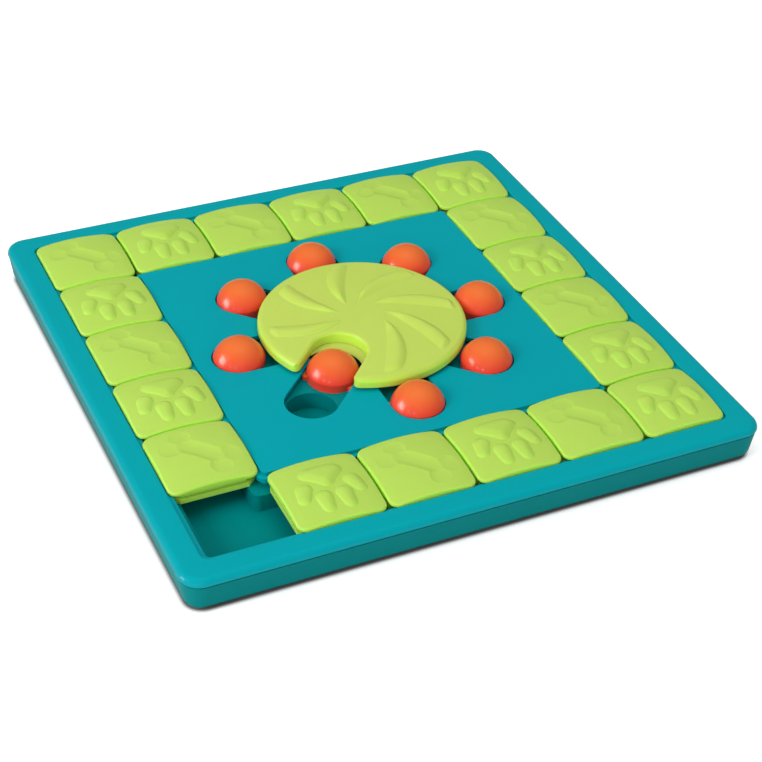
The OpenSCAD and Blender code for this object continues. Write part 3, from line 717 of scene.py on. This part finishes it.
def wheel_outline(inset):
    """Closed outline moved inwards, and its rim and notch alone, both from mouth to mouth."""
    horn_y = NOTCH_HALF + WHEEL_ROUND
    horn_x = math.sqrt((WHEEL_R - WHEEL_ROUND) ** 2 - horn_y**2)
    lift = math.atan2(horn_y, horn_x)
    rim = arc_points((0.0, 0.0), WHEEL_R - inset,
                     np.linspace(lift, 2 * np.pi - lift, WHEEL_AROUND + 1))
    notch = notch_points(NOTCH_HALF + inset, horn_x - NOTCH_END, np.pi * horn_y)
    low_turn = np.linspace(-lift, np.pi / 2, HORN_STEPS + 1)[1:-1]
    high_turn = np.linspace(-np.pi / 2, lift, HORN_STEPS + 1)[1:-1]
    low_horn = arc_points((horn_x, -horn_y), WHEEL_ROUND - inset, low_turn)
    high_horn = arc_points((horn_x, horn_y), WHEEL_ROUND - inset, high_turn)
    return np.concatenate([rim, low_horn, notch, high_horn]), rim, notch[::-1]


print("outline points:", len(wheel_outline(0.0)[0]))

# %% [markdown]
# ## The crescents
# Seven crescents rise from the wheel like the blades of a fan, as a grip for paw and nose.
# Each lies between a strongly bowed leading arc and a nearly straight trailing one that start
# from the same point, and its height depends on how far across a point lies. That keeps the
# crest smooth from the pointed end to the broad one.

# %% Crescents
# Direction of each crescent's outer end, and how far round its inner end lies, in degrees.
CRESCENTS = [(-90.5, 47.0), (-48.0, 42.0), (-3.0, 40.0), (41.0, 36.0), (86.0, 24.0),
             (131.0, 18.0), (180.0, 4.0)]
CRESCENT_START, CRESCENT_END, CRESCENT_SPAN, CRESCENT_RISE = 14.0, 57.5, 11.0, 2.0
LEAD_BOW, TRAIL_BOW = 7.0, 1.5
FULL_WIDTH, CREST_SHARE, FALL_POWER = 6.0, 0.58, 0.8
FADE_PAST, FADE_RUN = 1.0, 3.5


def polar(distance, degrees):
    """Point at a distance from the axle in a direction."""
    return distance * math.cos(math.radians(degrees)), distance * math.sin(math.radians(degrees))


def bow_circle(p, q, bow):
    """Middle and radius of the circle through p and q that bows out to the left by bow."""
    p, q = np.array(p), np.array(q)
    chord = q - p
    length = np.hypot(*chord)
    radius = ((length / 2) ** 2 + bow**2) / (2 * bow)
    left = np.array([-chord[1], chord[0]]) / length
    return (p + q) / 2 - left * (radius - bow), radius


def crescent_sides(x, y, angle, twist):
    """Depth inside the leading arc's circle, distance outside the trailing arc's, and whether
    a point lies between the two on the crescent's own side of the axle."""
    start = polar(CRESCENT_START, angle + twist)
    lead, lead_r = bow_circle(start, polar(CRESCENT_END, angle), LEAD_BOW)
    trail, trail_r = bow_circle(start, polar(CRESCENT_END, angle - CRESCENT_SPAN), TRAIL_BOW)
    front = lead_r - np.hypot(x - lead[0], y - lead[1])
    back = np.hypot(x - trail[0], y - trail[1]) - trail_r
    middle_x, middle_y = polar(1.0, angle + twist / 2)
    same_side = x * middle_x + y * middle_y > 0.0
    return front, back, (front > 0.0) & (back > 0.0) & same_side


def ridge(share):
    """Height across a crescent: a cubic rise up to the crest, then a rounder, steeper fall."""
    rise = np.clip(share / CREST_SHARE, 0.0, 1.0)
    fall = np.clip((share - CREST_SHARE) / (1.0 - CREST_SHARE), 0.0, 1.0)
    return np.where(share < CREST_SHARE, rise * (1.5 - 0.5 * rise**2),
                    np.cos(fall * np.pi / 2) ** FALL_POWER)


def crescent_height(x, y):
    """The ridges, lower where they are narrow and faded out by a smooth step at the rim."""
    fade = np.clip((CRESCENT_END + FADE_PAST - np.hypot(x, y)) / FADE_RUN, 0.0, 1.0)
    fade = fade * fade * (3.0 - 2.0 * fade)
    total = np.zeros_like(x)
    for angle, twist in CRESCENTS:
        front, back, inside = crescent_sides(x, y, angle, twist)
        width = np.maximum(front + back, 1e-6)
        crest = ridge(np.clip(back / width, 0.0, 1.0))
        height = crest * fade * np.minimum(1.0, width / FULL_WIDTH)
        total = np.maximum(total, np.where(inside, height, 0.0))
    return CRESCENT_RISE * total


print("crescents:", len(CRESCENTS), "crest at", CREST_SHARE, "of the width")

# %% [markdown]
# ## The wheel's height
# The wheel is slightly domed, with a broad rounding at the rim and a smaller one at the notch.
# Roundings are part of the height here: a bevel on a finished mesh would run into the crescents,
# while a height that drops near the outline leaves them alone.

# %% Wheel height
NOTCH_ROUND, NOTCH_CLEAR = 1.8, 4.0
WHEEL_BOTTOM, WHEEL_EDGE_TOP, WHEEL_MIDDLE_TOP = 24.75, 31.3, 33.3


def fillet_drop(distance, radius):
    """How far a rounded edge lies below the top at a distance from the outline."""
    d = np.clip(distance, 0.0, radius)
    return radius - np.sqrt(radius**2 - (radius - d) ** 2)


def wheel_height(px, py):
    """Height over a point in the notch's axes: dome, edge roundings and crescents."""
    r = np.hypot(px, py)
    rise = 1.0 - np.minimum(r / (WHEEL_R - WHEEL_ROUND), 1.0) ** 2
    dome = WHEEL_EDGE_TOP + (WHEEL_MIDDLE_TOP - WHEEL_EDGE_TOP) * rise
    wall = np.where(px > NOTCH_END, np.abs(py), np.hypot(px - NOTCH_END, py)) - NOTCH_HALF
    near = np.clip(wall / NOTCH_CLEAR, 0.0, 1.0)
    return (dome - fillet_drop(WHEEL_R - r, WHEEL_ROUND) - fillet_drop(wall, NOTCH_ROUND)
            + crescent_height(*turned(px, py, NOTCH_ANGLE)) * near)


print("height on the axle:", round(float(wheel_height(np.zeros(1), np.zeros(1))[0]), 2))

# %% [markdown]
# ## The ledge in the notch
# The foot of the notch's inner wall reaches toward the drawn-in knob as a thin, nearly level
# ledge that stops at a running gap. It could be a ring cut to length, but its two sides belong
# to different circles: the wall to the notch's end, the free edge to the knob. So a section of
# four corners is carried round the knob's middle and reaches from one circle to the other.

# %% Notch ledge
DRAWN_IN_R = 47.2
LEDGE_REACH, LEDGE_STEPS = 70.0, 61
LEDGE_FRONT, LEDGE_SWING, LEDGE_LAP = 16.5, 1.1, 1.0
LEDGE_BOTTOM, LEDGE_FRONT_TOP, LEDGE_BACK_TOP = 24.9, 25.3, 25.6


def notch_ledge():
    """Thin ledge from the notch's inner wall to a running gap round the drawn-in knob.

    Seen from the knob's middle at angle phi, the wall lies where a ray meets the notch's end
    circle: rho = e cos(phi) + sqrt(e^2 cos^2(phi) + w^2 - e^2), with e between the two middles.
    """
    phi = np.radians(np.linspace(-LEDGE_REACH, LEDGE_REACH, LEDGE_STEPS))
    apart, wide = DRAWN_IN_R - NOTCH_END, NOTCH_HALF + LEDGE_LAP
    back = apart * np.cos(phi) + np.sqrt((apart * np.cos(phi)) ** 2 + wide**2 - apart**2)
    front = LEDGE_FRONT + LEDGE_SWING * np.abs(np.sin(phi))
    section = [(front, LEDGE_BOTTOM), (back, LEDGE_BOTTOM), (back, LEDGE_BACK_TOP),
               (front, LEDGE_FRONT_TOP)]
    rings = np.stack([np.column_stack([DRAWN_IN_R - rho * np.cos(phi), rho * np.sin(phi),
                                       np.full(LEDGE_STEPS, z)]) for rho, z in section], axis=1)
    first, last = (np.tile(ring.mean(axis=0), (len(section), 1)) for ring in rings[[0, -1]])
    return grid_surface([first, *rings, last], wrap=True)


print("ledge points:", len(notch_ledge()[0]))

# %% [markdown]
# ## The wheel's surface
# The top is ruled: straight rows run from the notch to the rim, closer together at both, where
# the roundings are. The edge is a stack of outlines, the underside one flat band, and a short
# axle goes down into the board. One turn takes it all from the notch's axes to the board's.

# %% Wheel surface
WHEEL_ACROSS, ROW_SHIFT = 120, 0.12
WHEEL_EDGE_RINGS, WHEEL_CHAMFER = 11, 0.2
AXLE_R, AXLE_BOTTOM, AXLE_STEPS, AXLE_LAP = 6.0, 12.6, 64, 1.0


def wheel_edge():
    """Outlines from the top's edge down: a quarter round, the wall, a chamfer, the underside."""
    rings = []
    for turn in np.radians(np.linspace(90.0, 0.0, WHEEL_EDGE_RINGS)):
        loop, _, _ = wheel_outline(WHEEL_ROUND * (1.0 - math.cos(turn)))
        rings.append(at_height(loop, wheel_height(*loop.T)))
    for inset, z in ((0.0, WHEEL_BOTTOM + WHEEL_CHAMFER), (WHEEL_CHAMFER, WHEEL_BOTTOM),
                     (WHEEL_ROUND, WHEEL_BOTTOM)):
        rings.append(at_height(wheel_outline(inset)[0], z))
    return grid_surface(rings, wrap=True)


def wheel_axle():
    """Closed cylinder from its foot up into the wheel."""
    circle = arc_points((0.0, 0.0), 1.0, np.linspace(0.0, 2 * np.pi, AXLE_STEPS, endpoint=False))
    top = WHEEL_BOTTOM + AXLE_LAP
    return scaled_rings(circle, [(0.0, AXLE_BOTTOM), (AXLE_R, AXLE_BOTTOM), (AXLE_R, top),
                                 (0.0, top)])


def wheel_surface():
    """Top rows at t - ROW_SHIFT sin(2 pi t) / pi between notch and rim, then the other parts."""
    _, rim, notch = wheel_outline(WHEEL_ROUND)
    t = np.linspace(0.0, 1.0, WHEEL_ACROSS + 1)
    t = t - ROW_SHIFT * np.sin(2 * np.pi * t) / np.pi
    plan = notch[None] + (rim - notch)[None] * t[:, None, None]
    top = np.dstack([plan, wheel_height(plan[..., 0], plan[..., 1])])
    under = np.dstack([plan[[0, -1]], np.full((2, plan.shape[1]), WHEEL_BOTTOM)])
    points, quads = join_surfaces([flipped(grid_surface(top)), flipped(wheel_edge()),
                                   grid_surface(under), wheel_axle(), notch_ledge()])
    x, y = turned(points[:, 0], points[:, 1], NOTCH_ANGLE)
    return np.column_stack([x, y, points[:, 2]]), quads


points, quads = wheel_surface()
wheel = make_piece("notched_wheel", points, quads, LIME_WHEEL, "wheel_body", ("wheel",))
print("wheel faces:", len(wheel.data.polygons))

# %% [markdown]
# ## The knobs
# A knob is a dome on a round base that runs in its slot. Two ears at the foot of the base
# reach under the slot's edges and keep the knob down: a disc that is cut off straight on the
# slot's two ends. The dome and base are one stack of circles, as a lathe would turn them, and
# the ears are another stack of the cut disc.

# %% Knob surface
KNOB_STEPS, DOME_RINGS = 96, 34
DOME_R, DOME_TOP, KNOB_R = 16.2, 35.2, 15.7
BASE_R, BASE_STEP, UNDER_RING = 15.6, 0.2, 8.0
FLANGE_R, EAR_HALF, EAR_EDGE, EAR_CHAMFER = 18.0, 9.0, 0.985, 0.3
SLOT_FLOOR, FLANGE_TOP, BASE_TOP = 17.8, 20.3, 22.6


def knob_surface():
    """Dome and base from the pole down, then the ears; the slot runs along x.

    The cut disc reaches min(FLANGE_R, EAR_HALF / |cos(turn)|) in each direction.
    """
    turn = np.linspace(-np.pi, np.pi, KNOB_STEPS, endpoint=False)
    circle = arc_points((0.0, 0.0), 1.0, turn)
    centre_z = DOME_TOP - DOME_R
    widest = math.asin((BASE_TOP - centre_z) / DOME_R)
    levels = [(min(DOME_R * math.cos(lift), KNOB_R), centre_z + DOME_R * math.sin(lift))
              for lift in np.linspace(np.pi / 2, widest, DOME_RINGS)]
    levels += [(BASE_R, BASE_TOP - BASE_STEP), (BASE_R, SLOT_FLOOR), (UNDER_RING, SLOT_FLOOR),
               (0.0, SLOT_FLOOR)]
    reach = np.minimum(FLANGE_R, EAR_HALF / np.maximum(np.abs(np.cos(turn)), 1e-6))
    ears = [(0.0, FLANGE_TOP), (EAR_EDGE, FLANGE_TOP), (1.0, FLANGE_TOP - EAR_CHAMFER),
            (1.0, SLOT_FLOOR), (0.0, SLOT_FLOOR)]
    return flipped(join_surfaces([scaled_rings(circle, levels),
                                  scaled_rings(circle * reach[:, None], ears)]))


knob_points, knob_quads = knob_surface()
print("knob points:", len(knob_points))

# %% [markdown]
# ## Knobs in their slots
# One knob stands in each of the eight slots. Seven are parked outside the wheel, and the one
# that points to the near left is drawn in and stands in the notch, where it locks the wheel.
# All are turned copies of one surface that is worked out once, each with its own body.

# %% Place the knobs
PARK_R = 79.5
KNOB_ANGLES = [0, 45, 90, 135, 180, -135, -90, -45]
for number, angle in enumerate(KNOB_ANGLES, 1):
    distance = DRAWN_IN_R if angle == NOTCH_DEGREES else PARK_R
    x, y = turned(knob_points[:, 0] + distance, knob_points[:, 1], math.radians(angle))
    knob = make_piece(f"dome_knob_{number:02d}", np.column_stack([x, y, knob_points[:, 2]]),
                      knob_quads, ORANGE, f"knob_body_{number:02d}", (f"knob_{number:02d}",))
print("knob faces:", len(knob.data.polygons))

# %% [markdown]
# ## The floor
# A pale floor carries the board's soft shadow. It glows a little, but only for rays from the
# camera and from mirrors or glass, so that it looks bright without lighting the board from
# below. Under the board a shadow is painted: in a rounded square masked by its distance field the
# floor is painted dark and the glow ends.

# %% Floor
# The dark floor colour is a painted shadow under the board; the MASK values place it and end the
# glow there.
FLOOR_PAINT, FLOOR_PAINTED_SHADOW, FLOOR_GLOW = (0.80, 0.80, 0.80), (0.22, 0.205, 0.20), 0.45
MASK_HALF = (0.1610, 0.1610, 0.0)
MASK_START, MASK_END = 0.0106, 0.0130
FLOOR_HALF, FLOOR_STEPS = 6.0, 12


def outside_board(tree):
    """Mask of the painted shadow: 0 under the board and 1 beside it, from the length of max(|xy| -
    half, 0) through a short ramp.
    """
    value = add_node(tree, "TexCoord", {}).outputs["Object"]
    for operation, other in (("ABSOLUTE", None), ("SUBTRACT", MASK_HALF),
                             ("MAXIMUM", (0.0, 0.0, 0.0))):
        values = {0: value, 1: other} if other else {0: value}
        value = add_node(tree, "VectorMath", values, operation).outputs[0]
    reach = add_node(tree, "VectorMath", {0: value}, "LENGTH").outputs["Value"]
    ramp = add_node(tree, "MapRange", {"Value": reach, "From Min": MASK_START,
                                       "From Max": MASK_END})
    return ramp.outputs["Result"]


def floor_material():
    """Matt paint plus a glow for camera, mirror and glass rays; under the board a shadow is
    painted, where the paint turns dark and the glow ends.
    """
    material = bpy.data.materials.new("pale_floor")
    tree = empty_tree(material)
    outside = outside_board(tree)
    paint = add_node(tree, "BsdfDiffuse", {
        "Color": mix_colours(tree, outside, FLOOR_PAINTED_SHADOW, FLOOR_PAINT)})
    path = add_node(tree, "LightPath", {}).outputs
    seen = path["Is Camera Ray"]
    for other in (path["Is Glossy Ray"], path["Is Transmission Ray"]):
        seen = add_node(tree, "Math", {0: seen, 1: other}, "MAXIMUM").outputs[0]
    for other in (FLOOR_GLOW, outside):
        seen = add_node(tree, "Math", {0: seen, 1: other}, "MULTIPLY").outputs[0]
    glow = add_node(tree, "Emission", {"Strength": seen})
    total = add_node(tree, "AddShader", {0: paint.outputs[0], 1: glow.outputs[0]})
    add_node(tree, "OutputMaterial", {"Surface": total.outputs[0]})
    return material


w = np.linspace(-FLOOR_HALF, FLOOR_HALF, FLOOR_STEPS + 1)
floor_grid = np.dstack([*np.meshgrid(w, w), np.zeros((len(w), len(w)))])
floor_points, floor_quads = grid_surface(floor_grid)
floor_mesh = bpy.data.meshes.new("floor")
floor_mesh.from_pydata(floor_points.tolist(), [], floor_quads.tolist())
floor_mesh.materials.append(floor_material())
floor = bpy.data.objects.new("floor", floor_mesh)
bpy.context.scene.collection.objects.link(floor)
print("floor faces:", len(floor_mesh.polygons))

# %% [markdown]
# ## Lamps and world
# A key lamp from the left shapes the ornament, a wide lamp overhead and one in front fill, and
# the world gives the rest. The three lamps are kept out of reflections, where they would grey
# the teal; the gloss comes from three cards instead, which only reflections show. A broad one
# on the left puts a soft sheen on the rounded edges, and two small ones make the knobs' glints.

# %% Lamps and world
WORLD_LEVEL, WORLD_GLOSS = 0.49, 0.10
# Name, place, size, watts, and whether the lamp is a card that only reflections show.
LAMPS = [
    ("key", (-1.7, -0.4, 1.2), 0.7, 20.0, False),
    ("overhead", (0.1, 0.1, 2.0), 1.4, 12.0, False),
    ("front_fill", (-0.6, -1.9, 0.8), 1.3, 7.0, False),
    ("side_card", (-1.6, 0.3, 0.35), 0.8, 26.0, True),
    ("glint_a", (-1.35, -0.75, 0.32), 0.10, 0.9, True),
    ("glint_b", (-0.95, -1.20, 0.28), 0.10, 0.9, True),
]


def area_lamp(name, place, size, watts, card):
    """Square lamp that faces the board's middle; a card shows only in reflections."""
    data = bpy.data.lights.new(name, "AREA")
    data.shape = "SQUARE"
    data.size = size
    data.energy = watts
    lamp = bpy.data.objects.new(name, data)
    aim = (-Vector(place)).to_track_quat("-Z", "Y")
    lamp.matrix_world = Matrix.Translation(Vector(place)) @ aim.to_matrix().to_4x4()
    lamp.visible_glossy = card
    lamp.visible_diffuse = not card
    bpy.context.scene.collection.objects.link(lamp)
    return lamp


def white_world(level, gloss):
    """World that lights the object at level, shows white to the camera and gloss to mirrors."""
    world = bpy.data.worlds.new("studio")
    bpy.context.scene.world = world
    tree = empty_tree(world)
    path = add_node(tree, "LightPath", {}).outputs
    light, mirrored, shown = (
        add_node(tree, "Background", {"Color": WHITE, "Strength": strength}).outputs[0]
        for strength in (level, gloss, 1.0))
    unseen = add_node(tree, "MixShader", {0: path["Is Glossy Ray"], 1: light, 2: mirrored})
    total = add_node(tree, "MixShader", {0: path["Is Camera Ray"], 1: unseen.outputs[0],
                                         2: shown})
    add_node(tree, "OutputWorld", {"Surface": total.outputs[0]})
    return world


white_world(WORLD_LEVEL, WORLD_GLOSS)
for lamp_values in LAMPS:
    area_lamp(*lamp_values)
bpy.context.scene.view_settings.view_transform = "Standard"
print("lamps:", len(bpy.data.lights))
